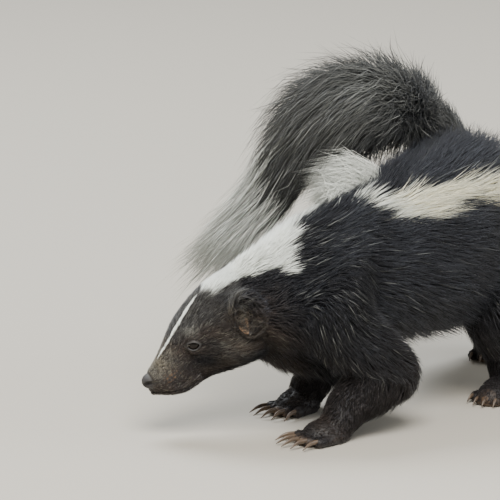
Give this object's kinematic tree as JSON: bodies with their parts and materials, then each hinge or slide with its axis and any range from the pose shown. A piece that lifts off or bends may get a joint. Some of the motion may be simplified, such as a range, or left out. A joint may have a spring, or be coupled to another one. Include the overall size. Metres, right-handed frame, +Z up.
{
  "type": "striped skunk",
  "caption": "Life-size striped skunk walking with its nose to the ground, body bent sideways and bushy tail carried forward over its back.",
  "frame": {"origin": "centre of the bounding box at the floor, under the paws", "axes": "-X is the way the animal walks, -Y its left side, +Z up"},
  "size_m": [0.348, 0.1736, 0.2257],
  "materials": {
    "black_fur": "long black guard hair, white on the nape and in two stripes along the back",
    "brown_fur": "short brown-black hair",
    "paw_skin": "short hair, bare toes and claws",
    "eye": "wet, dark"
  },
  "bodies": {
    "root": {"ear_left": "brown_fur", "ear_right": "brown_fur", "eye_left": "eye", "eye_right": "eye", "head": "brown_fur", "leg_front_left": "brown_fur", "leg_front_right": "brown_fur", "leg_rear_left": "brown_fur", "leg_rear_right": "brown_fur", "neck": "black_fur", "paw_front_left": "paw_skin", "paw_front_right": "paw_skin", "paw_rear_left": "paw_skin", "paw_rear_right": "paw_skin", "tail_base": "black_fur", "tail_middle": "black_fur", "tail_tip": "black_fur", "torso_front": "black_fur", "torso_rear": "black_fur"}
  },
  "joints": []
}
